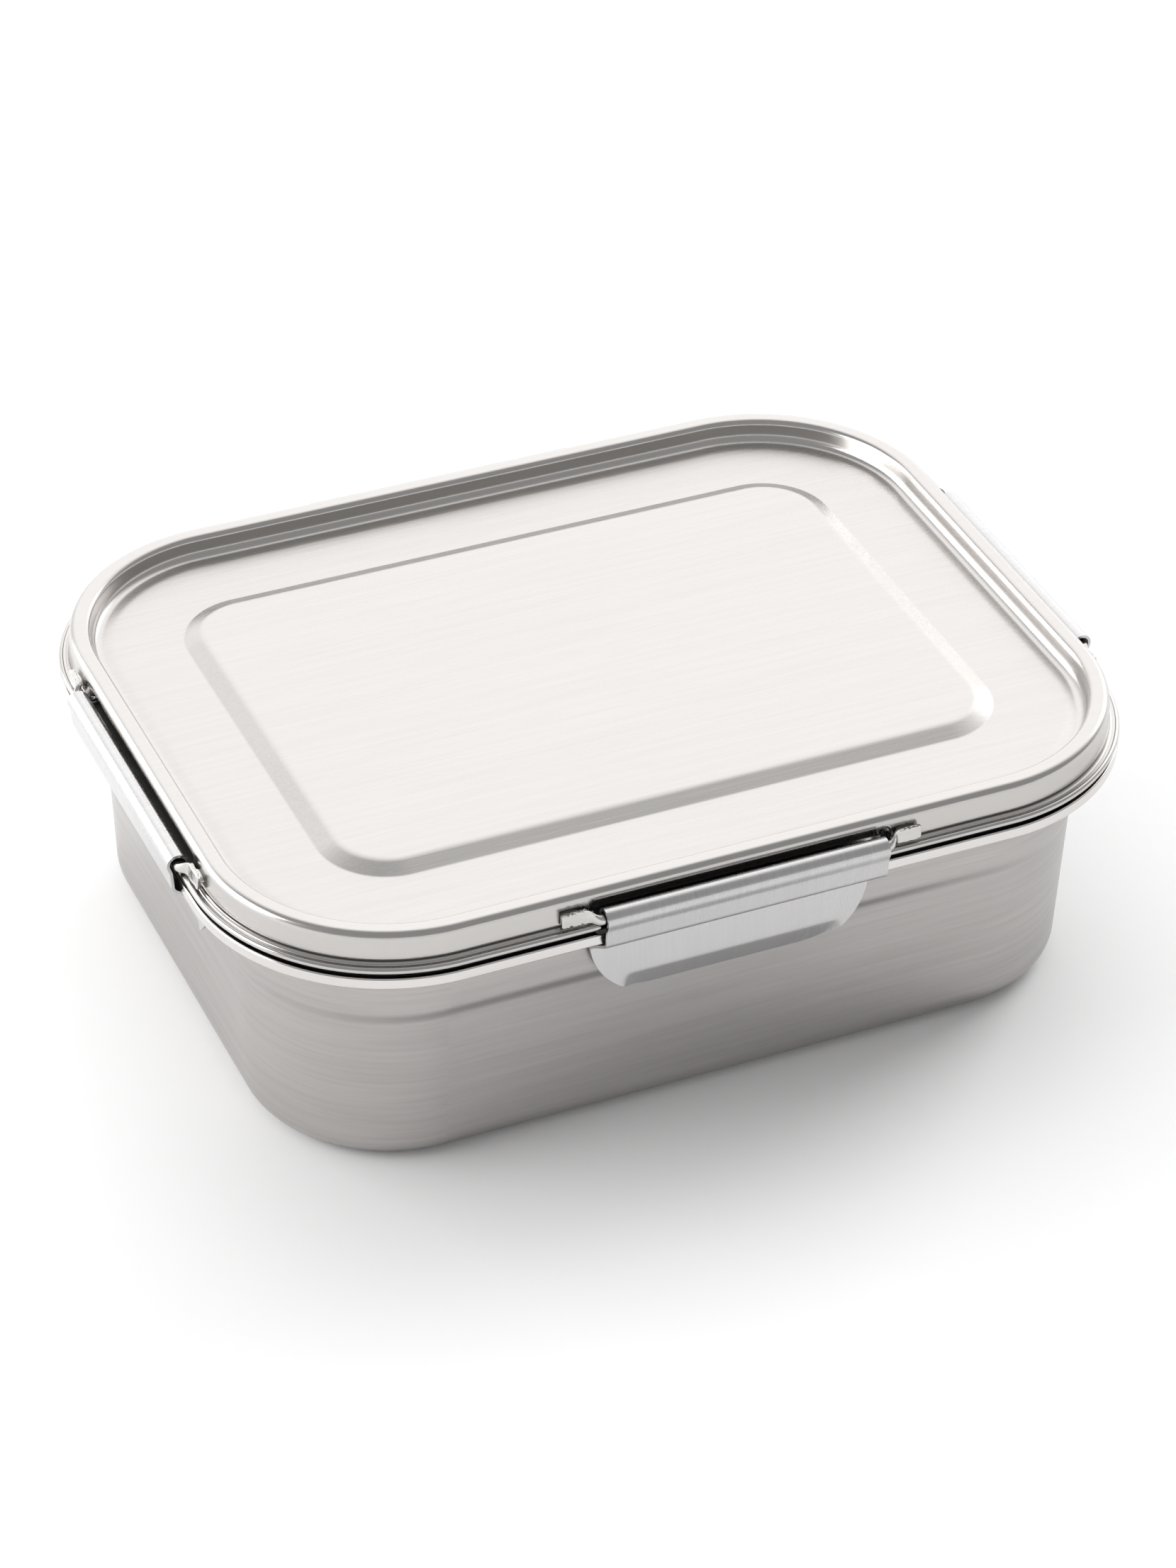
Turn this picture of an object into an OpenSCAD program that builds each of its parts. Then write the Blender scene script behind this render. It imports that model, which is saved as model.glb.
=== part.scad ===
// Rectangular stainless food box: a deep-drawn tray with a rolled rim, a pressed
// lid with a sealing ring in its rim channel, and four sheet-metal snap clips,
// each turning on a round wire welded to the lid wall.
// Millimetres, +Z up, long side along X. The origin is on the underside of the
// tray, at the centre of its footprint.

/* [Outline] */
// Length over the foot of the lid wall
lid_length = 200; // [160:1:260]
// Width over the foot of the lid wall
lid_width = 155.2; // [130:0.2:200]
// Corner radius at the foot of the lid wall
corner_radius = 39.7; // [30:0.1:50]
// Height of the foot of the lid wall over the table
seam_height = 58.2; // [40:0.1:90]
// Thickness of the tray and lid sheet
sheet = 0.7; // [0.5:0.05:1]

/* [Tray] */
// Radius of the rounded edge round the tray bottom
foot_radius = 6; // [3:0.5:10]
// How far the tray wall leans in at the foot of the tray
wall_inset_bottom = 8.3; // [7.5:0.1:12]
// How far the tray wall sits in below the step
wall_inset_middle = 6.8; // [6.5:0.1:8]
// How far the tray wall sits in above the step
wall_inset_top = 5.9; // [5.7:0.1:6.4]
// Height of the lower end of the step in the tray wall
step_height = 37.5; // [25:0.5:45]
// Height of the step itself
step_rise = 2.4; // [1:0.1:5]
// Radius of the rolled rim of the tray
rim_roll_radius = 1.15; // [0.9:0.05:1.3]
// How far the centre of the rolled rim is outside the seam line
rim_roll_out = 0.9; // [0.5:0.05:1.2]
// How far the centre of the rolled rim is below the seam height
rim_roll_drop = 4.55; // [4:0.05:5]

/* [Lid] */
// Height of the raised rim of the lid over the seam
rim_rise = 6.4; // [4:0.1:8]
// Height of the recessed field over the seam
field_rise = 2.1; // [1:0.1:3]
// Height of the raised centre panel over the seam
panel_rise = 3.8; // [1.5:0.1:6]
// How far in the foot of the panel slope is
panel_foot_inset = 24.6; // [15:0.1:28]
// How far in the top of the panel slope is
panel_top_inset = 28.6; // [20:0.1:34]
// Radius of the rolled edge of the lid
lid_roll_radius = 0.75; // [0.5:0.05:0.9]
// Half length of the pockets pressed into the lid wall behind the clips
pocket_half = 32; // [31.5:0.1:33]
// How deep the pockets are pressed in
pocket_depth = 1.7; // [1:0.1:2]
// Top of the pockets over the seam
pocket_rise = 4.3; // [3.5:0.1:4.6]

/* [Clips] */
// Length of a clip
clip_length = 62; // [40:1:70]
// Thickness of the clip sheet
clip_sheet = 0.6; // [0.5:0.05:0.8]
// Radius of the hinge wire
wire_radius = 1.12; // [0.8:0.01:1.15]
// Running clearance between wire and clip
wire_clearance = 0.58; // [0.3:0.01:0.7]
// How far the hinge wire is outside the seam line
wire_out = 2.3; // [1.5:0.1:3]
// How far the hinge wire is above the seam height
wire_rise = 1.15; // [0.8:0.05:2]
// Radius of the lower corners of the finger tab
tab_corner = 14; // [4:0.5:16]
// Half distance to the outer end of a wire's flattened ends
lug_end = 39.9; // [36:0.1:45]

/* [Hidden] */
R0 = corner_radius;
CX = lid_length / 2 - R0;
CY = lid_width / 2 - R0;
H = seam_height;
rim_top = H - rim_roll_drop + rim_roll_radius;
ARC = 5;

// a path of [x, y, bend radius] corners as a list of [point, left normal]
function unit(v) = v / norm(v);
function left(v) = [-v[1], v[0]];
function turned(v, a) = [v[0] * cos(a) - v[1] * sin(a), v[0] * sin(a) + v[1] * cos(a)];
function xy(v) = [v[0], v[1]];
function bend(a, p, b, r, n) =
    let (u = unit(xy(p) - xy(a)), w = unit(xy(b) - xy(p)),
         c = u[0] * w[1] - u[1] * w[0], s = c >= 0 ? 1 : -1,
         f = acos(min(1, u * w)), d = r * tan(f / 2),
         q = xy(p) - u * d, m = q + s * r * left(u))
    [for (i = [0:n]) let (k = turned(left(u), s * f * i / n)) [m - s * r * k, k]];
function path(v, n = ARC) = let (e = len(v) - 1) concat(
    [[xy(v[0]), left(unit(xy(v[1]) - xy(v[0])))]],
    [for (i = [1:e - 1]) for (q = bend(v[i - 1], v[i], v[i + 1], v[i][2], n)) q],
    [[xy(v[e]), left(unit(xy(v[e]) - xy(v[e - 1])))]]);
function side(p, k) = [for (q = p) q[0] + k * q[1]];
function but_last(v) = [for (i = [0:len(v) - 2]) v[i]];
function backwards(v) = [for (i = [len(v) - 1:-1:0]) v[i]];
function arc(c, r, a, b, n) =
    [for (i = [0:n]) let (k = a + (b - a) * i / n) [c[0] + r * cos(k), c[1] + r * sin(k)]];

// runs a section, drawn in [distance outside the seam line, height], right round the box
module ring() {
    for (k = [0:3]) {
        c = [[CX, CY], [-CX, CY], [-CX, -CY], [CX, -CY]][k];
        translate([c[0], c[1], 0]) rotate([0, 0, 90 * k]) {
            rotate_extrude(angle = 90, $fn = 96) translate([R0, 0]) children();
            rotate([90, 0, 0]) linear_extrude(height = k % 2 == 0 ? 2 * CY : 2 * CX)
                translate([R0, 0]) children();
        }
    }
}

// the flat sheet inside the ring, a little larger than the hole left in it
module core(z) {
    translate([0, 0, z]) linear_extrude(height = sheet) union() {
        square([2 * CX, 2 * CY + 10], center = true);
        square([2 * CX + 10, 2 * CY], center = true);
        for (x = [-CX, CX], y = [-CY, CY]) translate([x, y]) circle(r = 5, $fn = 96);
    }
}

// puts a thing made for the front long side, its seam line on the X axis, on side k
module on_side(k) {
    d = k % 2 == 0 ? lid_width / 2 : lid_length / 2;
    rotate([0, 0, 90 * k]) translate([0, -d, 0]) children();
}

module tray_section() {
    b = rim_roll_radius;
    c = [rim_roll_out, H - rim_roll_drop];
    under = rim_top - sheet;
    a = asin((under - c[1]) / b);
    p = path([[4 - R0, 0, 0], [-wall_inset_bottom, 0, foot_radius],
              [-wall_inset_middle, step_height, 4],
              [-wall_inset_top, step_height + step_rise, 4],
              [-wall_inset_top, under, 1.5], [c[0] - b * cos(a), under, 0]]);
    polygon(concat(but_last(side(p, 0)), arc(c, b, 180 - a, 450, 20),
                   backwards(but_last(side(p, sheet)))));
}

module tray() {
    color([0.72, 0.71, 0.7]) union() {
        ring() tray_section();
        core(0);
    }
}

module lid_section() {
    b = lid_roll_radius;
    c = [1.3, H - 1.1];
    top = c[1] + b;
    a = asin((top - sheet - c[1]) / b);
    p = path([[4 - R0, H + panel_rise, 0], [-panel_top_inset, H + panel_rise, 4],
              [-panel_foot_inset, H + field_rise, 1.5], [-5.45, H + field_rise - 0.7, 1.6],
              [-4.75, H + rim_rise, 1.2], [-0.55, H + rim_rise, 1.6],
              [-0.05, top, 0.5], [c[0], top, 0]]);
    polygon(concat(side(p, 0), arc(c, b, 60, -180 - a, 16),
                   backwards(but_last(side(p, -sheet)))));
}

// the opening cut through the lid wall and edge for one clip
module pocket_cut() {
    translate([-pocket_half, -4, H - 0.3]) cube([2 * pocket_half, 4 + pocket_depth, pocket_rise + 0.3]);
    translate([-clip_length / 2 - 0.3, -4, H - 3]) cube([clip_length + 0.6, 4 + pocket_depth, 3.5]);
}

// the pressed-in sheet behind one clip
module pocket_wall() {
    difference() {
        translate([-pocket_half - sheet, 0.5, H - 1.05])
            cube([2 * (pocket_half + sheet), pocket_depth + sheet - 0.5, pocket_rise + sheet + 1.05]);
        translate([-pocket_half, -1, H - 3]) cube([2 * pocket_half, 1 + pocket_depth, pocket_rise + 3]);
    }
}

module lid() {
    color([0.8, 0.79, 0.78]) union() {
        difference() {
            ring() lid_section();
            for (k = [0:3]) on_side(k) pocket_cut();
        }
        for (k = [0:3]) on_side(k) pocket_wall();
        core(H + panel_rise - sheet);
    }
}

module lid_seal() {
    color([0.12, 0.12, 0.12]) ring() polygon([
        [-5.2, rim_top + 0.05], [-0.8, rim_top + 0.05], [-0.8, H - 1.2], [-2.5, H - 1.2],
        [-2.5, H + rim_rise - 1.6], [-3.9, H + rim_rise - 1.6], [-3.9, H - 1.2], [-5.2, H - 1.2]]);
}

// one hinge wire: a round rod whose cranked ends are flattened on the lid wall
module hinge_wire() {
    y = -wire_out;
    z = H + wire_rise;
    e = clip_length / 2 + 1.2;
    translate([-e, y, z]) rotate([0, 90, 0]) cylinder(r = wire_radius, h = 2 * e, $fn = 48);
    for (s = [-1, 1]) {
        translate([s * e, y, z]) sphere(r = wire_radius + 0.06, $fn = 48);
        translate([s * e, y, z]) rotate([0, s * 62, 0]) rotate([-24, 0, 0])
            cylinder(r = wire_radius - 0.12, h = 2.6, $fn = 40);
        translate([s * (lug_end + 33.6) / 2, 0, 0]) rotate([90, 0, 0]) translate([0, 0, -0.32])
            linear_extrude(height = 2) polygon([for (q = [[1, 0.6], [0.8, 1], [-0.8, 1], [-1, 0.6], [-1, -0.6], [-0.8, -1], [0.8, -1], [1, -0.6]])
                [q[0] * (lug_end - 33.6) / 2, H + 2.2 + q[1] * 1.4]]);
    }
}

module clip_section() {
    r = wire_radius + wire_clearance;
    m = r + clip_sheet / 2;
    s = [wire_out + m * cos(20), H + wire_rise - m * sin(20)];
    d = [-sin(20), -cos(20)];
    p = path([[s[0], s[1], 0], [s[0] + 1.3 * d[0], s[1] + 1.3 * d[1], 2.2],
              [3.4, H - 5.25, 1], [-4.55, H - 10.5, 1.2],
              [-3.65, H - 19.4, 1.5], [-4.95, H - 24.3, 0]], 6);
    polygon(concat(side(p, clip_sheet / 2), backwards(side(p, -clip_sheet / 2))));
}

// one clip: a curl round the wire, a front, a hook under the tray rim and a finger tab
module snap_clip() {
    r = wire_radius + wire_clearance;
    L = clip_length;
    z = H + wire_rise;
    intersection() {
        union() {
            translate([-L / 2, -wire_out, z]) rotate([0, 90, 0]) difference() {
                cylinder(r = r + clip_sheet, h = L, $fn = 64);
                translate([0, 0, -1]) cylinder(r = r, h = L + 2, $fn = 64);
                translate([0, 0, -1]) linear_extrude(height = L + 2) polygon([
                    [0, 0], [5 * sin(20), -5 * cos(20)], [6, -6], [8, 3], [5 * sin(35), 5 * cos(35)]]);
            }
            translate([L / 2, 0, 0]) rotate([90, 0, -90]) linear_extrude(height = L) clip_section();
        }
        translate([0, 10, 0]) rotate([90, 0, 0]) linear_extrude(height = 20) union() {
            translate([-L / 2 - 1, H - 24.3 + tab_corner]) square([L + 2, 40]);
            translate([-L / 2 + tab_corner, H - 26]) square([L - 2 * tab_corner, 30]);
            for (s = [-1, 1]) translate([s * (L / 2 - tab_corner), H - 24.3 + tab_corner])
                circle(r = tab_corner, $fn = 64);
        }
    }
}

module wire_front() { color([0.75, 0.75, 0.75]) on_side(0) hinge_wire(); }
module wire_right() { color([0.75, 0.75, 0.75]) on_side(1) hinge_wire(); }
module wire_back() { color([0.75, 0.75, 0.75]) on_side(2) hinge_wire(); }
module wire_left() { color([0.75, 0.75, 0.75]) on_side(3) hinge_wire(); }
module clip_front() { color([0.85, 0.85, 0.86]) on_side(0) snap_clip(); }
module clip_right() { color([0.85, 0.85, 0.86]) on_side(1) snap_clip(); }
module clip_back() { color([0.85, 0.85, 0.86]) on_side(2) snap_clip(); }
module clip_left() { color([0.85, 0.85, 0.86]) on_side(3) snap_clip(); }

tray();
lid();
lid_seal();
wire_front();
wire_back();
wire_left();
wire_right();
clip_front();
clip_back();
clip_left();
clip_right();
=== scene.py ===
import math

import bpy
import numpy as np
from mathutils import Matrix, Vector


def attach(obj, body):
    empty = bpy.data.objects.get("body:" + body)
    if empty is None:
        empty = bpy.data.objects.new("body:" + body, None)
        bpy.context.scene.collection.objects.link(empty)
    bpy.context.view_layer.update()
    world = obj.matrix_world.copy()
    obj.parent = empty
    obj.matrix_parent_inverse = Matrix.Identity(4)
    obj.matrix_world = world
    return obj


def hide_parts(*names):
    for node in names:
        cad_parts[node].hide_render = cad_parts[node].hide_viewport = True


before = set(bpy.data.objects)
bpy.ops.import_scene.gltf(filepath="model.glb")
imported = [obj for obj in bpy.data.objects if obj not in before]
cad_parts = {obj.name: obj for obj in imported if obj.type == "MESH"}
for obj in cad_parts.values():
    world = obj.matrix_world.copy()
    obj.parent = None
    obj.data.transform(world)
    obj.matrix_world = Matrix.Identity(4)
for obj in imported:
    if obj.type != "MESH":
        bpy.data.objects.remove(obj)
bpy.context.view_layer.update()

# ---------------------------------------------------------------- sizes, in millimetres, as in the CAD part
LENGTH, WIDTH, R0, H, SHEET = 200.0, 155.2, 39.7, 58.2, 0.7
CX, CY = LENGTH / 2 - R0, WIDTH / 2 - R0
FOOT_R, W_BOTTOM, W_MIDDLE, W_TOP, STEP_Z, STEP_RISE = 6.0, 8.3, 6.8, 5.9, 37.5, 2.4
TRAY_ROLL_R, TRAY_ROLL_OUT, TRAY_ROLL_DROP = 1.15, 0.9, 4.55
RIM_TOP = H - TRAY_ROLL_DROP + TRAY_ROLL_R
RIM_RISE, FIELD_RISE, PANEL_RISE, PANEL_FOOT, PANEL_TOP = 6.4, 2.1, 3.8, 24.6, 28.6
LID_ROLL_R, LID_ROLL = 0.75, (1.3, H - 1.1)
POCKET_HALF, POCKET_DEPTH, POCKET_RISE = 32.0, 1.7, 4.3
CLIP_HALF, CLIP_SHEET, WIRE_R, WIRE_GAP = 31.0, 0.6, 1.12, 0.58
WIRE = (2.3, H + 1.15)
TAB_CORNER, TAB_BOTTOM = 15.0, H - 24.3
LIP_TOP, LIP_HALF, LIP_SHIFT, LIP_LEAN = H - 19.4, 24.4, 0.8, 0.265
LUG_END, LUG_START = 39.9, 33.6


# ---------------------------------------------------------------- plane paths
def unit(v):
    v = np.array(v, float)
    return v / np.linalg.norm(v)


def left(v):
    return np.array([-v[1], v[0]])


def turned(v, a):
    c, s = math.cos(a), math.sin(a)
    return np.array([v[0] * c - v[1] * s, v[0] * s + v[1] * c])


def bend(a, p, b, r, n):
    a, p, b = (np.array(q[:2], float) for q in (a, p, b))
    u, w = unit(p - a), unit(b - p)
    s = 1.0 if u[0] * w[1] - u[1] * w[0] >= 0 else -1.0
    f = math.acos(max(-1.0, min(1.0, float(u @ w))))
    q = p - u * r * math.tan(f / 2)
    m = q + s * r * left(u)
    out = []
    for i in range(n + 1):
        k = turned(left(u), s * f * i / n)
        out.append((m - s * r * k, k))
    return out


def path(v, n=10, support=0.18, every=None):
    """A path of [x, y, bend radius] corners as (point, left normal); straights get support points beside each bend."""
    runs = [[(np.array(v[0][:2], float), left(unit(np.array(v[1][:2]) - np.array(v[0][:2]))))]]
    for i in range(1, len(v) - 1):
        runs.append(bend(v[i - 1], v[i], v[i + 1], v[i][2], n) if v[i][2] > 0 else [])
    runs.append([(np.array(v[-1][:2], float), left(unit(np.array(v[-1][:2]) - np.array(v[-2][:2]))))])
    out = list(runs[0])
    for prev, nxt in zip(runs[:-1], runs[1:]):
        a, b = prev[-1][0], nxt[0][0]
        gap = np.linalg.norm(b - a)
        stops = []
        if gap > 3 * support:
            stops += [support / gap, 1 - support / gap]
        if every and gap > every:
            stops += list(np.linspace(0, 1, int(gap / every) + 2)[1:-1])
        for t in sorted(stops):
            out.append((a + (b - a) * t, nxt[0][1]))
        out += nxt
    return out


def side(p, k):
    return [q + k * n for q, n in p]


def arc(c, r, a, b, n):
    return [np.array([c[0] + r * math.cos(t), c[1] + r * math.sin(t)])
            for t in np.radians(np.linspace(a, b, n + 1))]


def smooth(x, a, b):
    t = np.clip((np.asarray(x, float) - a) / (b - a), 0, 1)
    return t * t * (3 - 2 * t)


# ---------------------------------------------------------------- the run round the box
def stations(s_long, s_short, n=36):
    """Stations round the rounded rectangle, counter-clockwise from the front: x, y, outward normal, side, place on the side, run length."""
    out = []
    lists = (s_long, s_short, s_long, s_short)
    half = (CX, CY, CX, CY)
    offs = (WIDTH / 2, LENGTH / 2, WIDTH / 2, LENGTH / 2)
    run = 0.0
    for k in range(4):
        c, s = round(math.cos(k * math.pi / 2)), round(math.sin(k * math.pi / 2))
        for t in sorted({float(x) for x in lists[k] if abs(x) < half[k] - 1e-6} | {-half[k], half[k]}):
            x, y = t, -offs[k]
            out.append((x * c - y * s, x * s + y * c, s * 1.0, -c * 1.0, k, t, run + t + half[k]))
        run += 2 * half[k]
        cx, cy = [(CX, -CY), (CX, CY), (-CX, CY), (-CX, -CY)][k]
        for i in range(1, n):
            a = math.radians(-90 + 90 * k + 90 * i / n)
            out.append((cx + R0 * math.cos(a), cy + R0 * math.sin(a), math.cos(a), math.sin(a), -1, 0.0,
                        run + R0 * math.radians(90 * i / n)))
        run += R0 * math.pi / 2
    return out, run


def dense(*spans):
    out = set()
    for a, b, step in spans:
        for v in np.arange(a, b + 1e-9, step):
            out |= {round(float(v), 4), -round(float(v), 4)}
    return sorted(out)


def make(name, verts, faces, uvs=None, polish=None, angle=32, mats=(), face_mat=None, painted_crease_shade=None):
    me = bpy.data.meshes.new(name)
    me.from_pydata([tuple(float(c) * 0.001 for c in v) for v in verts], [], [list(f) for f in faces])
    me.validate()
    for p in me.polygons:
        p.use_smooth = True
    if uvs is not None:
        layer = me.uv_layers.new(name="run")
        vi = np.zeros(len(me.loops), np.int32)
        me.loops.foreach_get("vertex_index", vi)
        uv = np.array(uvs, float)[vi]
        if uvs_period:
            # the seam of the run is unwrapped
            start, total = np.zeros(len(me.polygons), np.int32), np.zeros(len(me.polygons), np.int32)
            me.polygons.foreach_get("loop_start", start)
            me.polygons.foreach_get("loop_total", total)
            top = np.repeat(np.maximum.reduceat(uv[:, 0], start), total)
            uv[:, 0] += np.where(top - uv[:, 0] > uvs_period / 2, uvs_period, 0.0)
        layer.data.foreach_set("uv", (uv * 0.001).ravel())
    if polish is not None:
        at = me.attributes.new("polish", "FLOAT", "POINT")
        at.data.foreach_set("value", np.array(polish, np.float32))
    # a vertex attribute of painted shade, darkening the crease line
    if painted_crease_shade is not None:
        at = me.attributes.new("painted_crease_shade", "FLOAT", "POINT")
        at.data.foreach_set("value", np.array(painted_crease_shade, np.float32))
    o = bpy.data.objects.new(name, me)
    bpy.context.scene.collection.objects.link(o)
    for m in mats:
        me.materials.append(m)
    if face_mat is not None:
        for p, m in zip(me.polygons, face_mat):
            p.material_index = m
    import bmesh
    bm = bmesh.new()
    bm.from_mesh(me)
    bmesh.ops.remove_doubles(bm, verts=bm.verts, dist=2e-6)
    bmesh.ops.dissolve_degenerate(bm, edges=bm.edges, dist=1e-7)
    bmesh.ops.recalc_face_normals(bm, faces=bm.faces)
    bm.to_mesh(me)
    bm.free()
    me.set_sharp_from_angle(angle=math.radians(angle))
    return o


uvs_period = 0.0


def sweep(name, sts, period, sections, v_of, polish_of=None, fill=True, painted_crease_shade_of=None, **kw):
    """sections: (stations, points, 2) of [distance out, height]. The run closes on itself; the two open ends are filled when fill is set."""
    global uvs_period
    ns, npt = sections.shape[:2]
    verts, uvs, pol = [], [], []
    for i, (x, y, nx, ny, k, s, run) in enumerate(sts):
        for j in range(npt):
            o, z = sections[i, j]
            verts.append((x + o * nx, y + o * ny, z))
            uvs.append((run, v_of[j]))
            pol.append(polish_of[j] if polish_of is not None else 0.0)
    faces = []
    last = npt if not fill else npt - 1
    for i in range(ns):
        a, b = i * npt, ((i + 1) % ns) * npt
        for j in range(last):
            k2 = (j + 1) % npt
            faces.append((a + j, b + j, b + k2, a + k2))
    if fill:
        faces.append([i * npt for i in range(ns)])
        faces.append([i * npt + npt - 1 for i in reversed(range(ns))])
    uvs_period = period
    return make(name, verts, faces, uvs, pol, painted_crease_shade=None if painted_crease_shade_of is None else list(painted_crease_shade_of) * ns, **kw)


def along(points):
    d = [0.0]
    for a, b in zip(points[:-1], points[1:]):
        d.append(d[-1] + float(np.linalg.norm(np.asarray(b) - np.asarray(a))))
    return d


# ---------------------------------------------------------------- materials
def nodes_of(mat):
    mat.use_nodes = True
    nt = mat.node_tree
    nt.nodes.clear()
    out = nt.nodes.new("ShaderNodeOutputMaterial")
    bs = nt.nodes.new("ShaderNodeBsdfPrincipled")
    nt.links.new(bs.outputs["BSDF"], out.inputs["Surface"])
    return nt, bs


def math_node(nt, op, a, b=None, clamp=False):
    n = nt.nodes.new("ShaderNodeMath")
    n.operation = op
    n.use_clamp = clamp
    for i, v in enumerate((a, b)):
        if v is None:
            continue
        if isinstance(v, (int, float)):
            n.inputs[i].default_value = v
        else:
            nt.links.new(v, n.inputs[i])
    return n.outputs[0]


def noise(nt, vec, scale, detail=3.0, rough=0.5, stretch=(1, 1, 1), offset=(0, 0, 0)):
    mp = nt.nodes.new("ShaderNodeMapping")
    mp.inputs["Scale"].default_value = stretch
    mp.inputs["Location"].default_value = offset
    nt.links.new(vec, mp.inputs["Vector"])
    n = nt.nodes.new("ShaderNodeTexNoise")
    n.inputs["Scale"].default_value = scale
    n.inputs["Detail"].default_value = detail
    n.inputs["Roughness"].default_value = rough
    nt.links.new(mp.outputs[0], n.inputs["Vector"])
    return n.outputs["Fac"]


def remap(nt, v, a, b, c, d):
    n = nt.nodes.new("ShaderNodeMapRange")
    n.inputs[1].default_value, n.inputs[2].default_value = a, b
    n.inputs[3].default_value, n.inputs[4].default_value = c, d
    nt.links.new(v, n.inputs[0])
    return n.outputs[0]


def steel(name, base, rough, coords="UV", grain="x", fine=0.22, depth=0.35, aniso=0.5, polish_rough=0.12, polish_gain=1.1,
          streak=0.05, blot=0.03):
    """Brushed stainless sheet. grain names the axis that the brush ran along; the fine lines are `fine` mm apart."""
    mat = bpy.data.materials.new(name)
    nt, bs = nodes_of(mat)
    tc = nt.nodes.new("ShaderNodeTexCoord")
    vec = tc.outputs["UV"] if coords == "UV" else tc.outputs["Object"]
    across = 1.0 / (fine * 0.001)
    lengthwise = {"x": (0.018, 1, 1), "y": (1, 0.018, 1), "z": (1, 1, 0.018)}[grain]
    hair = noise(nt, vec, across, 2.0, 0.6, lengthwise)
    lines = noise(nt, vec, across / 4.5, 2.0, 0.5, {"x": (0.03, 1, 1), "y": (1, 0.03, 1), "z": (1, 1, 0.03)}[grain], (3.1, 1.7, 0.4))
    cloud = noise(nt, vec, 45.0, 2.0, 0.5, {"x": (0.25, 1, 1), "y": (1, 0.25, 1), "z": (1, 1, 0.25)}[grain], (0.3, 5.1, 2.2))
    pol = nt.nodes.new("ShaderNodeAttribute")
    pol.attribute_name = "polish"
    pf = pol.outputs["Fac"]
    # colour: base, a little lighter and darker along the brush lines, in soft clouds, lighter where polished
    tone = math_node(nt, "ADD", remap(nt, lines, 0.3, 0.7, -streak, streak), remap(nt, cloud, 0.3, 0.7, -blot, blot))
    tone = math_node(nt, "ADD", tone, remap(nt, hair, 0.3, 0.7, -streak * 0.6, streak * 0.6))
    tone = math_node(nt, "MULTIPLY", tone, remap(nt, pf, 0, 1, 1.0, 0.25))
    gain = math_node(nt, "ADD", tone, remap(nt, pf, 0, 1, 1.0, polish_gain))
    # painted shade: a dark line along the pressed crease, standing in for the shade that falls in it
    crease = nt.nodes.new("ShaderNodeAttribute")
    crease.attribute_name = "painted_crease_shade"
    gain = math_node(nt, "MULTIPLY", gain, remap(nt, crease.outputs["Fac"], 0, 1, 1.0, 0.12))
    mix = nt.nodes.new("ShaderNodeVectorMath")
    mix.operation = "SCALE"
    mix.inputs[0].default_value = base
    nt.links.new(gain, mix.inputs["Scale"])
    nt.links.new(mix.outputs[0], bs.inputs["Base Color"])
    # roughness
    r = math_node(nt, "ADD", remap(nt, hair, 0.3, 0.7, rough - 0.05, rough + 0.05), remap(nt, cloud, 0.3, 0.7, -0.02, 0.02))
    rr = nt.nodes.new("ShaderNodeMix")
    rr.data_type = "FLOAT"
    nt.links.new(pf, rr.inputs[0])
    nt.links.new(r, rr.inputs[2])
    nt.links.new(remap(nt, cloud, 0.3, 0.7, polish_rough - 0.02, polish_rough + 0.03), rr.inputs[3])
    nt.links.new(rr.outputs[0], bs.inputs["Roughness"])
    # grain as relief
    bump = nt.nodes.new("ShaderNodeBump")
    bump.inputs["Distance"].default_value = 0.00003
    height = math_node(nt, "ADD", hair, math_node(nt, "MULTIPLY", lines, 0.8))
    nt.links.new(height, bump.inputs["Height"])
    nt.links.new(remap(nt, pf, 0, 1, depth, depth * 0.15), bump.inputs["Strength"])
    nt.links.new(bump.outputs[0], bs.inputs["Normal"])
    bs.inputs["Metallic"].default_value = 1.0
    bs.inputs["Anisotropic"].default_value = aniso
    return mat


def rubber(name, base):
    mat = bpy.data.materials.new(name)
    nt, bs = nodes_of(mat)
    tc = nt.nodes.new("ShaderNodeTexCoord")
    n = noise(nt, tc.outputs["Object"], 900.0, 3.0, 0.6)
    big = noise(nt, tc.outputs["Object"], 60.0, 2.0, 0.5)
    mix = nt.nodes.new("ShaderNodeVectorMath")
    mix.operation = "SCALE"
    mix.inputs[0].default_value = base
    nt.links.new(remap(nt, big, 0.3, 0.7, 0.85, 1.2), mix.inputs["Scale"])
    nt.links.new(mix.outputs[0], bs.inputs["Base Color"])
    nt.links.new(remap(nt, n, 0.3, 0.7, 0.5, 0.66), bs.inputs["Roughness"])
    bump = nt.nodes.new("ShaderNodeBump")
    bump.inputs["Distance"].default_value = 0.00004
    bump.inputs["Strength"].default_value = 0.3
    nt.links.new(n, bump.inputs["Height"])
    nt.links.new(bump.outputs[0], bs.inputs["Normal"])
    return mat


TRAY_STEEL = steel("tray_steel", (0.480, 0.463, 0.454), 0.34, "UV", "x", 0.24, 0.45, 0.45, 0.14, 1.5)
LID_STEEL = steel("lid_steel", (0.550, 0.532, 0.518), 0.30, "Object", "x", 0.20, 0.42, 0.0, 0.14, 0.98, 0.020, 0.012)
CLIP_STEEL = steel("clip_steel", (0.575, 0.568, 0.570), 0.28, "UV", "y", 0.17, 0.5, 0.0, 0.30, 1.02, 0.030, 0.010)
WIRE_STEEL = steel("wire_steel", (0.60, 0.585, 0.57), 0.20, "Object", "x", 0.5, 0.25, 0.0, 0.15, 1.1, 0.04, 0.06)
SEAL_RUBBER = rubber("seal_rubber", (0.045, 0.045, 0.045))


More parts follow.
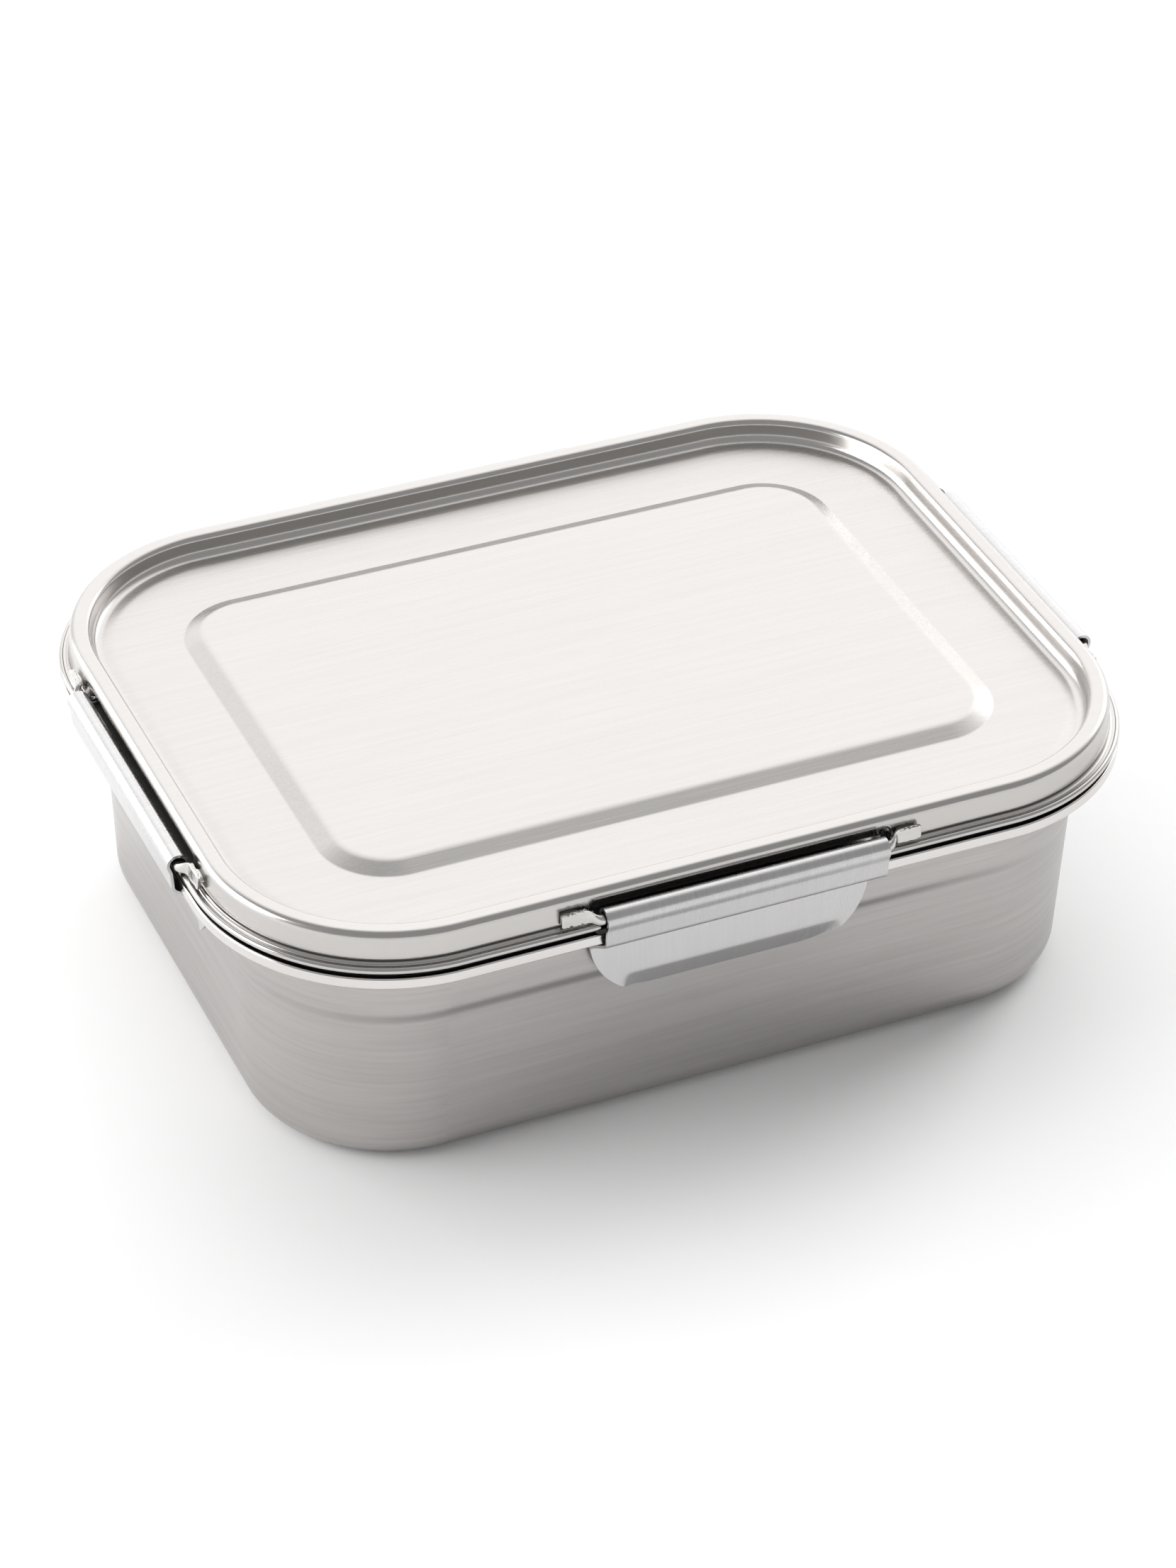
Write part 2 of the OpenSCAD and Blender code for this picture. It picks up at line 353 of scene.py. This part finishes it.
# ---------------------------------------------------------------- the tray
def build_tray():
    b, c = TRAY_ROLL_R, (TRAY_ROLL_OUT, H - TRAY_ROLL_DROP)
    under = RIM_TOP - SHEET
    a = math.asin((under - c[1]) / b)
    p = path([[4 - R0, 0, 0], [-W_BOTTOM, 0, FOOT_R], [-W_MIDDLE, STEP_Z, 4], [-W_TOP, STEP_Z + STEP_RISE, 4],
              [-W_TOP, under, 1.5], [c[0] - b * math.cos(a), under, 0]], 14, every=4.0)
    outer = side(p, 0)[:-1]
    # the bead is pressed flat on its outer face and stands a little proud of the rim
    x0, x1, zb, zt = c[0] - b * math.cos(a), c[0] + b, H - 5.3, H - 2.75
    roll = [q for q, _ in path([[x0, under, 0], [x0, zb, 0.5], [x1, zb, 0.42], [x1, zt, 0.45], [0.1, zt, 0.45],
                                [x0, RIM_TOP, 0]], 10, support=0.1)][1:-1]
    inner = side(p, SHEET)[:-1][::-1]
    pts = outer + roll + inner
    pol = [0.0] * len(outer) + [1.0] * len(roll) + [0.25] * len(inner)
    for j, q in enumerate(outer):
        if q[1] > under - 1.3:
            pol[j] = float(smooth(q[1], under - 1.3, under - 0.3))
    for j, q in enumerate(inner):
        if q[1] > RIM_TOP - 1.6:
            pol[len(outer) + len(roll) + j] = 0.25 + 0.75 * float(smooth(q[1], RIM_TOP - 1.6, RIM_TOP - 0.4))
    sts, period = stations(dense((0, CX, 6)), dense((0, CY, 6)))
    sec = np.tile(np.array(pts)[None], (len(sts), 1, 1))
    return sweep("tray_shell", sts, period, sec, along(pts), pol, mats=(TRAY_STEEL,))


# ---------------------------------------------------------------- the lid
def build_lid():
    b, c = LID_ROLL_R, LID_ROLL
    top = c[1] + b
    a = math.asin((top - SHEET - c[1]) / b)
    corners = [[4 - R0, H + PANEL_RISE, 0], [-PANEL_TOP, H + PANEL_RISE, 4.5], [-PANEL_FOOT, H + FIELD_RISE, 1.6],
               [-9.5, H + FIELD_RISE - 0.2, 12], [-5.45, H + FIELD_RISE - 0.7, 2.0],
               [-4.75, H + RIM_RISE, 1.4], [-0.55, H + RIM_RISE, 1.65],
               [-0.05, top, 0.45], [c[0], top, 0]]
    p = path(corners, 12, support=0.12)
    # the wall between the rim and the flange gets a fine ladder of points, for the pockets
    q = []
    for (u, nu), (w, nw) in zip(p[:-1], p[1:]):
        q.append((u, nu))
        if u[0] > -1.5 and abs(w[1] - u[1]) > 0.3:
            m = int(abs(w[1] - u[1]) / 0.08)
            q += [(u + (w - u) * t, nu) for t in np.linspace(0, 1, m + 2)[1:-1]]
        if u[0] > 0.1 and w[0] - u[0] > 0.3:
            q += [(u + (w - u) * t, nu) for t in np.linspace(0, 1, 14)[1:-1]]
    q.append(p[-1])
    upper = side(q, 0)[:-1]
    roll = arc(c, b, 90, -180 - math.degrees(a), 30)
    lower = side(q, -SHEET)[:-1][::-1]
    pts = np.array(upper + roll + lower)
    nu, nr = len(upper), len(roll)
    for j in range(nu):
        # a sharp pressed line where the wall meets the flange
        if pts[j][0] > -1.5:
            pts[j][0] -= 0.36 * math.exp(-((pts[j][1] - (H + 0.14)) / 0.2) ** 2)
        # and a shallow step along the flange
        if pts[j][0] > 0.3 and pts[j][1] < H:
            pts[j][1] -= 0.16 * float(smooth(pts[j][0], 0.42, 0.56) - smooth(pts[j][0], 1.05, 1.3))
    pol = np.zeros(len(pts))
    pol[nu:nu + nr] = 0.9
    for j in range(nu):
        o, z = pts[j]
        if o > -7:
            pol[j] = 0.55 * float(smooth(o, -7.3, -5.9))
        if z < H + 0.6 and o > -1.2:
            pol[j] = 0.75
    # painted shade: a dark band along the crease where the wall meets the flange, for the shade that falls there
    painted_crease_shade = [math.exp(-((pts[j][1] - (H + 0.10)) / 0.22) ** 4) if j < nu and pts[j][0] > -1.5 else 0.0 for j in range(len(pts))]
    s_pts = dense((0, 28, 4), (28, 30.9, 0.7), (30.9, 34.6, 0.15), (34.6, 41, 0.8), (41, CX, 5))
    s_short = dense((0, 28, 4), (28, 30.9, 0.7), (30.9, 34.6, 0.15), (34.6, 37.5, 0.8))
    sts, period = stations(s_pts, s_short)
    # the section behind a clip: the wall runs straight down to a plain rounded edge, with no flange and no roll
    wall_foot = [j for j in range(nu) if pts[j][0] > -1.2 and pts[j][1] < H + 0.35][0]
    lower_foot = [j for j in range(nu + nr, len(pts)) if pts[j][1] > H + 0.35][0]
    o_out, o_in = -0.5, -0.5 - SHEET
    zb = H - 1.0
    edge = [np.array([o_out, z]) for z in np.linspace(pts[wall_foot][1], zb + SHEET / 2, 14)]
    edge += arc(((o_out + o_in) / 2, zb + SHEET / 2), SHEET / 2, 0, -180, 12)[1:]
    edge += [np.array([o_in, z]) for z in np.linspace(zb + SHEET / 2, pts[lower_foot][1], 12)[1:]]
    ed = np.array(along(edge)) / along(edge)[-1]
    span = np.array(along(pts[wall_foot:lower_foot + 1]))
    span = span / span[-1]
    pocket = pts.copy()
    for n, j in enumerate(range(wall_foot, lower_foot + 1)):
        for ax in (0, 1):
            pocket[j][ax] = np.interp(span[n], ed, [e[ax] for e in edge])
    sec = np.zeros((len(sts), len(pts), 2))
    for i, (_, _, _, _, k, s, _) in enumerate(sts):
        g = float(smooth(-abs(s), -31.5, -31.25)) if k >= 0 else 0.0
        w = float(np.clip((33.3 - abs(s)) / 1.5, 0, 1)) if k >= 0 else 0.0
        here = pts * (1 - g) + pocket * g
        if w > 0:
            wall = (here[:, 0] > -1.9) & (here[:, 0] < 0.25) & (here[:, 1] < H + POCKET_RISE + 0.8)
            wall[: 5] = False
            depth = np.where(wall, 1 - smooth(here[:, 1], H + POCKET_RISE - 3.3, H + POCKET_RISE + 0.2), 0)
            # outside the clip's length the flange keeps its foot
            keep = np.where(here[:, 1] < H + 0.5, smooth(here[:, 1], H - 0.05 - 3 * g, H + 0.5 - 3 * g), 1.0)
            here = here.copy()
            here[:, 0] -= POCKET_DEPTH * w * depth * keep
        sec[i] = here
    return sweep("lid_shell", sts, period, sec, along(pts), list(pol), painted_crease_shade_of=painted_crease_shade, mats=(LID_STEEL,), angle=38)


def build_seal():
    z0, z1, z2 = RIM_TOP + 0.05, H - 1.2, H + RIM_RISE - 1.6
    corners = [(-5.2, z0, .5), (-0.8, z0, .5), (-0.8, z1, .35), (-2.5, z1, .3), (-2.5, z2, .6), (-3.9, z2, .6), (-3.9, z1, .3), (-5.2, z1, .35)]
    pts = []
    for i in range(len(corners)):
        a, p, b = corners[i - 1], corners[i], corners[(i + 1) % len(corners)]
        pts += [q for q, _ in bend(a, p, b, p[2], 5)]
    pts.append(pts[0])
    pts = pts[:-1]
    sts, period = stations(dense((0, CX, 12)), dense((0, CY, 12)))
    sec = np.tile(np.array(pts)[None], (len(sts), 1, 1))
    return sweep("seal_ring", sts, period, sec, along(pts), None, fill=False, mats=(SEAL_RUBBER,))


# ---------------------------------------------------------------- the clips and their wires, made for the front side
def to_side(v, k):
    """(s, out, z) beside the front's seam line to the box, on side k."""
    c, s = round(math.cos(k * math.pi / 2)), round(math.sin(k * math.pi / 2))
    d = WIDTH / 2 if k % 2 == 0 else LENGTH / 2
    x, y = v[0], -d - v[1]
    return (x * c - y * s, x * s + y * c, v[2])


def clip_path():
    r = WIRE_R + WIRE_GAP + CLIP_SHEET / 2
    curl = []
    for a in np.linspace(212, -20, 60):
        t = math.radians(a)
        n = np.array([math.cos(t), math.sin(t)])
        curl.append((np.array(WIRE) + r * n, n))
    s = curl[-1][0]
    d = np.array([-math.sin(math.radians(20)), -math.cos(math.radians(20))])
    q = s + 1.3 * d
    rest = path([[s[0], s[1], 0], [q[0], q[1], 2.4], [3.4, H - 5.05, 1.6], [-4.55, H - 10.5, 1.3],
                 [-3.61, TAB_BOTTOM, 0]], 12, support=0.12, every=0.5)
    # the left normal of this downward path points outward
    return curl, rest[1:]


def half_width(z):
    """Half the length of the clip at a height: the tab's lower corners are quarter circles."""
    zc = TAB_BOTTOM + TAB_CORNER
    if z >= zc:
        return CLIP_HALF
    d = min(TAB_CORNER, zc - z)
    return CLIP_HALF - TAB_CORNER + math.sqrt(max(0.0, TAB_CORNER ** 2 - d * d))


def build_clip(name, k):
    curl, rest = clip_path()
    # rows close together towards the bottom, where the outline turns in
    low = [i for i, (q, n) in enumerate(rest) if q[1] < H - 12]
    head, tail = rest[:low[0]], rest[low[0]:]
    arcl = along([q for q, n in tail])
    total = arcl[-1]
    # cosine spacing along the tab
    ts = sorted(set([round(t, 5) for t in arcl[:-1]] + [round(total * math.sin(x), 5) for x in np.linspace(0.15, math.pi / 2, 34)]))
    ts = [t for i, t in enumerate(ts) if i == 0 or t - ts[i - 1] > 0.012]
    tail2 = []
    for t in ts:
        o = np.interp(t, arcl, [q[0] for q, n in tail])
        z = np.interp(t, arcl, [q[1] for q, n in tail])
        nx = np.interp(t, arcl, [n[0] for q, n in tail])
        nz = np.interp(t, arcl, [n[1] for q, n in tail])
        tail2.append((np.array([o, z]), unit([nx, nz])))
    rows = curl + head + tail2
    us = np.concatenate([[-1, -0.9965, -0.991, -0.98], np.linspace(-0.96, 0.96, 97), [0.98, 0.991, 0.9965, 1]])
    h = CLIP_SHEET / 2
    top, bot, uv = [], [], []
    dist = along([q for q, n in rows])
    pol = []
    for r, (q, n) in enumerate(rows):
        hw = half_width(q[1]) if q[1] < H - 11 else CLIP_HALF
        for u in us:
            s = u * hw
            shift = 0.0
            if q[1] < LIP_TOP + 1.0:
                # the lower lip is pressed in, boat-shaped: its ends are round, and the tab stays flat outside them
                a, b = LIP_TOP - q[1], 1.7 * (LIP_HALF - abs(s - LIP_SHIFT))
                w = 3.2
                m = b if a > b + w else (a if b > a + w else 0.5 * (a + b) - (a - b) ** 2 / (4 * w) - w / 4)
                m = 0.5 * (m + math.sqrt(m * m + 0.35 ** 2)) - 0.03
                shift = -(LIP_LEAN + 0.21) * max(0.0, m)
            p = (s, q[0] + shift, q[1])
            top.append((p[0], p[1] + h * n[0], p[2] + h * n[1]))
            bot.append((p[0], p[1] - h * n[0], p[2] - h * n[1]))
            uv.append((s, dist[r]))
            pol.append(0.0 if r < len(curl) else 0.65 * float(smooth(dist[r] - dist[len(curl)], 0.5, 3.0)))
    nr, nc = len(rows), len(us)
    verts = [to_side(v, k) for v in top + bot]
    off = nr * nc
    faces = []
    for r in range(nr - 1):
        for i in range(nc - 1):
            a, b, c, d = r * nc + i, r * nc + i + 1, (r + 1) * nc + i + 1, (r + 1) * nc + i
            faces.append((a, b, c, d))
            faces.append((off + a, off + d, off + c, off + b))
    rim = [i for i in range(nc)] + [r * nc + nc - 1 for r in range(1, nr)] + \
          [(nr - 1) * nc + i for i in range(nc - 2, -1, -1)] + [r * nc for r in range(nr - 2, 0, -1)]
    for a, b in zip(rim, rim[1:] + rim[:1]):
        faces.append((a, off + a, off + b, b))
    global uvs_period
    uvs_period = 0.0
    o = make(name, verts, faces, uv + uv, pol + pol, angle=40, mats=(CLIP_STEEL,))
    bv = o.modifiers.new("edges", "BEVEL")
    bv.width = 0.00011
    bv.segments = 2
    bv.limit_method = "ANGLE"
    bv.angle_limit = math.radians(50)
    bv.harden_normals = True
    return o


def superellipse(w, hgt, e, n=28):
    """A closed cross-section going from a circle (e = 2) to a rectangle with small rounded corners (e = 8)."""
    out = []
    q = max(0.0, min(0.95, (e - 2) / 6.0))
    for t in np.linspace(0, 2 * math.pi, n, endpoint=False):
        c, s = math.cos(t), math.sin(t)
        m = max(abs(c), abs(s))
        out.append((w * c * (1 - q + q / m), hgt * s * (1 - q + q / m)))
    return out


def build_wire(name, k):
    """The round rod, its two necks that twist flat, and the hammered ends that are welded to the lid wall."""
    keys = []  # s, out, z, half thickness, half height, exponent, tilt about the wire
    for s in np.linspace(0, 30.6, 8):
        keys.append((s, WIRE[0], WIRE[1], WIRE_R, WIRE_R, 2.0, 0.0))
    keys += [(31.2, 2.3, H + 1.16, 1.12, 1.12, 2.0, 0.0), (31.9, 2.24, H + 1.22, 1.08, 1.14, 2.2, 4.0),
             (32.6, 2.02, H + 1.45, 0.92, 1.2, 2.8, 10.0), (33.2, 1.72, H + 1.78, 0.72, 1.28, 3.6, 10.0),
             (33.8, 1.1, H + 1.95, 0.54, 1.38, 5.5, 6.0), (34.3, 0.86, H + 1.94, 0.5, 1.43, 7.5, 3.0),
             (35.6, 0.8, H + 1.92, 0.5, 1.45, 8.0, 1.0), (37.6, 0.78, H + 1.9, 0.5, 1.45, 8.0, 0.0),
             (39.0, 0.78, H + 1.9, 0.5, 1.43, 8.0, 0.0), (39.3, 0.78, H + 1.9, 0.48, 1.38, 8.0, 0.0),
             (39.5, 0.78, H + 1.9, 0.42, 1.3, 7.0, 0.0), (39.55, 0.78, H + 1.9, 0.36, 1.2, 6.0, 0.0)]
    K = np.array(keys)
    ss = np.concatenate([np.linspace(0, 30.6, 10), np.linspace(30.9, 36, 26), np.linspace(36.4, 39.1, 9), [39.3, 39.45, 39.5, 39.55]])
    cols = [np.interp(ss, K[:, 0], K[:, j]) for j in range(7)]
    # soften the corners of the interpolation
    for j in range(1, 7):
        c = cols[j].copy()
        for _ in range(2):
            c[1:-1] = 0.25 * c[:-2] + 0.5 * c[1:-1] + 0.25 * c[2:]
        cols[j][:-4] = c[:-4]
    half = [tuple(col[i] for col in cols) for i in range(len(ss))]
    full = [(-a[0],) + a[1:] for a in half[:0:-1]] + half
    n = 32
    verts, faces, uv = [], [], []
    rng = np.random.default_rng(11 + k)
    for i, (s, o, z, w, hh, e, tilt) in enumerate(full):
        t = math.radians(tilt)
        dent = 0.06 if abs(s) > 34.2 else (0.018 if abs(s) > 31.6 else 0.0)
        jit = rng.normal(0, 1, n) * dent
        for j, (a, b) in enumerate(superellipse(w, hh, e, n)):
            f = 1 + jit[j] * 0.6
            a2, b2 = a * math.cos(t) - b * math.sin(t), a * math.sin(t) + b * math.cos(t)
            verts.append((s, o + a2 * f, z + b2 * f))
            uv.append((j * 0.2, s))
    m = len(full)
    for i in range(m - 1):
        for j in range(n):
            a, b = i * n + j, i * n + (j + 1) % n
            faces.append((a, b, b + n, a + n))
    faces.append(list(range(n)))
    faces.append([(m - 1) * n + j for j in reversed(range(n))])
    # the welds behind the flat ends
    for sgn in (-1, 1):
        base = len(verts)
        ring = []
        for lay, (o, grow) in enumerate(((-0.45, 0.12), (0.0, 0.0), (0.3, -0.05), (0.6, -0.1))):
            for (a, b) in superellipse(2.1 + grow, 0.75 + grow, 3.2, 24):
                verts.append((sgn * 37.0 + a, o, H + 1.9 + b))
                uv.append((a, b))
        for lay in range(3):
            for j in range(24):
                a, b = base + lay * 24 + j, base + lay * 24 + (j + 1) % 24
                faces.append((a, b, b + 24, a + 24))
        faces.append([base + j for j in range(24)])
        faces.append([base + 72 + j for j in reversed(range(24))])
    verts = [to_side(v, k) for v in verts]
    global uvs_period
    uvs_period = 0.0
    return make(name, verts, faces, uv, [0.0] * len(verts), angle=48, mats=(WIRE_STEEL,))


SIDES = ("front", "right", "back", "left")

tray = build_tray()
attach(tray, "tray")
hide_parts("tray")

lid = build_lid()
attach(lid, "lid")
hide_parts("lid")

seal = build_seal()
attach(seal, "lid")
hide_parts("lid_seal")

for k, s in enumerate(SIDES):
    w = build_wire("hinge_wire_" + s, k)
    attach(w, "lid")
    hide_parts("wire_" + s)
    c = build_clip("snap_clip_" + s, k)
    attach(c, "clip_" + s)
    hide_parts("clip_" + s)


# ---------------------------------------------------------------- floor, light, camera
def build_floor():
    me = bpy.data.meshes.new("floor")
    r = 4.0
    n = 12
    vs = [(-r + 2 * r * i / n, -r + 2 * r * j / n, 0.0) for j in range(n + 1) for i in range(n + 1)]
    fs = [(j * (n + 1) + i, j * (n + 1) + i + 1, (j + 1) * (n + 1) + i + 1, (j + 1) * (n + 1) + i) for j in range(n) for i in range(n)]
    me.from_pydata(vs, [], fs)
    o = bpy.data.objects.new("floor", me)
    bpy.context.scene.collection.objects.link(o)
    mat = bpy.data.materials.new("floor_paper")
    nt, bs = nodes_of(mat)
    tc = nt.nodes.new("ShaderNodeTexCoord")
    n1 = noise(nt, tc.outputs["Object"], 300.0, 2.0, 0.5)
    nt.links.new(remap(nt, n1, 0.3, 0.7, 0.75, 0.85), bs.inputs["Roughness"])
    bs.inputs["Base Color"].default_value = (0.88, 0.88, 0.88, 1)
    bs.inputs["Specular IOR Level"].default_value = 0.2
    me.materials.append(mat)
    return o


build_floor()


def dome():
    """A large soft light behind and to the right of the box, dim in front, with a pale band round the horizon."""
    world = bpy.data.worlds.new("studio")
    bpy.context.scene.world = world
    world.use_nodes = True
    nt = world.node_tree
    nt.nodes.clear()
    out = nt.nodes.new("ShaderNodeOutputWorld")
    bg = nt.nodes.new("ShaderNodeBackground")
    nt.links.new(bg.outputs[0], out.inputs[0])
    tc = nt.nodes.new("ShaderNodeTexCoord")
    dot = nt.nodes.new("ShaderNodeVectorMath")
    dot.operation = "DOT_PRODUCT"
    dot.inputs[1].default_value = (0.42, 0.78, 0.46)
    nt.links.new(tc.outputs["Generated"], dot.inputs[0])
    ramp = nt.nodes.new("ShaderNodeMapRange")
    ramp.interpolation_type = "SMOOTHSTEP"
    ramp.inputs[1].default_value, ramp.inputs[2].default_value = 0.47, 0.96
    ramp.inputs[3].default_value, ramp.inputs[4].default_value = 0.42, 1.66
    nt.links.new(dot.outputs["Value"], ramp.inputs[0])
    sep = nt.nodes.new("ShaderNodeSeparateXYZ")
    nt.links.new(tc.outputs["Generated"], sep.inputs[0])
    band = nt.nodes.new("ShaderNodeMapRange")
    band.interpolation_type = "SMOOTHSTEP"
    band.inputs[1].default_value, band.inputs[2].default_value = 0.30, 0.08
    band.inputs[3].default_value, band.inputs[4].default_value = 0.0, 1.25
    nt.links.new(math_node(nt, "ABSOLUTE", sep.outputs["Z"]), band.inputs[0])
    nt.links.new(math_node(nt, "MAXIMUM", ramp.outputs[0], band.outputs[0]), bg.inputs["Strength"])
    bg.inputs["Color"].default_value = (1.0, 1.0, 1.0, 1)


dome()


def softbox(name, loc, aim, size, power, size_y=None):
    li = bpy.data.lights.new(name, "AREA")
    li.shape = "RECTANGLE"
    li.size, li.size_y = size, size_y or size
    li.energy = power
    o = bpy.data.objects.new(name, li)
    o.location = loc
    o.rotation_euler = (Vector(aim) - Vector(loc)).to_track_quat("-Z", "Y").to_euler()
    bpy.context.scene.collection.objects.link(o)
    o.visible_camera = False
    return o


softbox("left", (-1.1, 0.25, 0.5), (-0.30, 0.12, 0.0), 0.7, 8.5)
softbox("back_left", (-0.85, 0.85, 0.42), (-0.18, 0.08, 0.0), 0.65, 6.0)
softbox("back_right", (1.15, 0.5, 0.7), (0.15, 0.05, 0.0), 0.7, 9.0).visible_glossy = False
softbox("right_glint", (1.15, 0.6, 0.6), (0.15, 0.05, 0.0), 0.6, 1.2)
softbox("top", (0.0, 0.1, 1.7), (0.0, 0.05, 0.0), 1.5, 5.0).visible_glossy = False


def camera():
    az, el, ro = (math.radians(a) for a in (-24.365, 35.943, 1.098))
    d = Vector((math.sin(az) * math.cos(el), -math.cos(az) * math.cos(el), math.sin(el)))
    right = Vector((math.cos(az), math.sin(az), 0))
    up = d.cross(right)
    target = Vector((0, 0, H)) + right * 1.031 + up * -22.72
    eye = (target + d * 987.431) * 0.001
    r2 = right * math.cos(ro) + up * math.sin(ro)
    u2 = up * math.cos(ro) - right * math.sin(ro)
    cam = bpy.data.cameras.new("camera")
    cam.sensor_fit = "AUTO"
    cam.sensor_width = 36.0
    cam.lens = 6580.241 * 36.0 / 2212.0
    cam.clip_start, cam.clip_end = 0.05, 30
    o = bpy.data.objects.new("camera", cam)
    m = Matrix((r2, u2, d)).transposed().to_4x4()
    m.translation = eye
    o.matrix_world = m
    bpy.context.scene.collection.objects.link(o)
    bpy.context.scene.camera = o


camera()
bpy.context.scene.view_settings.view_transform = "Standard"
bpy.context.scene.view_settings.look = "None"

bpy.context.view_layer.update()
